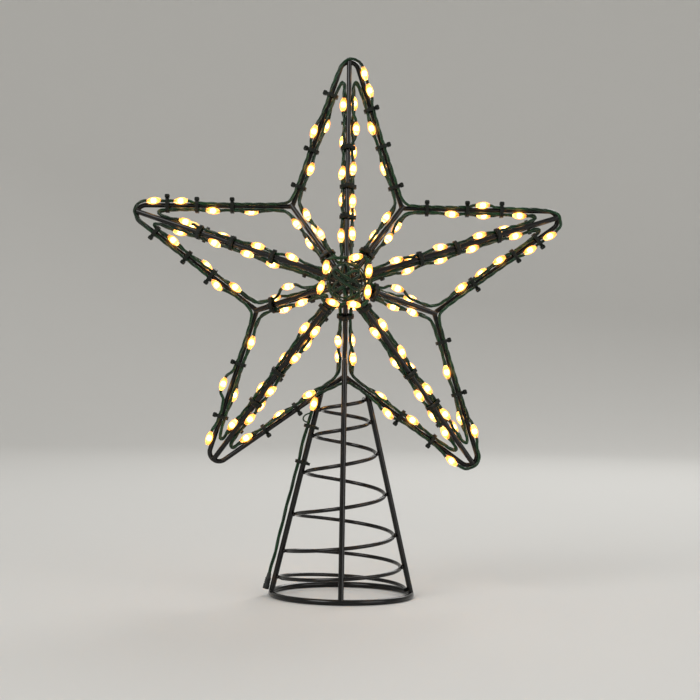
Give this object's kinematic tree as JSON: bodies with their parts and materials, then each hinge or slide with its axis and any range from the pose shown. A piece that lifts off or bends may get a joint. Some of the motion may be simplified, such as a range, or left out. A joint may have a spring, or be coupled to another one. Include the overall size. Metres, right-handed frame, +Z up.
{
  "type": "christmas tree topper star",
  "caption": "Lit five-pointed wire star with ridged faces, dressed with a warm lamp string, on a conical wire spiral foot that slips over the top of a tree.",
  "frame": {"origin": "on the floor at the centre of the base ring, where the tree's shoot enters the foot", "axes": "+Z up along the foot's axis to the star's top tip; +Y towards the back, so the lit front face looks towards -Y; +X to the right seen from the front"},
  "size_m": [0.3137, 0.1062, 0.3925],
  "materials": {
    "black_wire": "black gloss coat on steel wire",
    "green_wire": "dark green flexible insulation",
    "warm_lamp": "clear moulded resin over a warm white light",
    "cable_tie": "matt nylon, near black",
    "coupler": "matt black moulding"
  },
  "bodies": {
    "root": {"arm_left": "black_wire", "arm_lower_left": "black_wire", "arm_lower_right": "black_wire", "arm_right": "black_wire", "arm_top": "black_wire", "back_ridge_left": "black_wire", "back_ridge_lower_left": "black_wire", "back_ridge_lower_right": "black_wire", "back_ridge_right": "black_wire", "back_ridge_top": "black_wire", "back_valley_left": "black_wire", "back_valley_lower_left": "black_wire", "back_valley_lower_right": "black_wire", "back_valley_right": "black_wire", "back_valley_top": "black_wire", "base_ring": "black_wire", "front_ridge_left": "black_wire", "front_ridge_lower_left": "black_wire", "front_ridge_lower_right": "black_wire", "front_ridge_right": "black_wire", "front_ridge_top": "black_wire", "front_valley_left": "black_wire", "front_valley_lower_left": "black_wire", "front_valley_lower_right": "black_wire", "front_valley_right": "black_wire", "front_valley_top": "black_wire", "hub_ring_back": "black_wire", "hub_ring_front": "black_wire", "lamps_hub": "warm_lamp", "lamps_left": "warm_lamp", "lamps_lower_left": "warm_lamp", "lamps_lower_right": "warm_lamp", "lamps_outline": "warm_lamp", "lamps_right": "warm_lamp", "lamps_top": "warm_lamp", "lead_coupler": "coupler", "lead_wire": "green_wire", "leg_back": "black_wire", "leg_front": "black_wire", "leg_left": "black_wire", "leg_right": "black_wire", "string_hub": "green_wire", "string_left": "green_wire", "string_lower_left": "green_wire", "string_lower_right": "green_wire", "string_outline": "green_wire", "string_right": "green_wire", "string_top": "green_wire", "ties_back": "cable_tie", "ties_front": "cable_tie", "ties_lead": "cable_tie", "ties_outline": "cable_tie", "tree_spiral": "black_wire"}
  },
  "joints": []
}
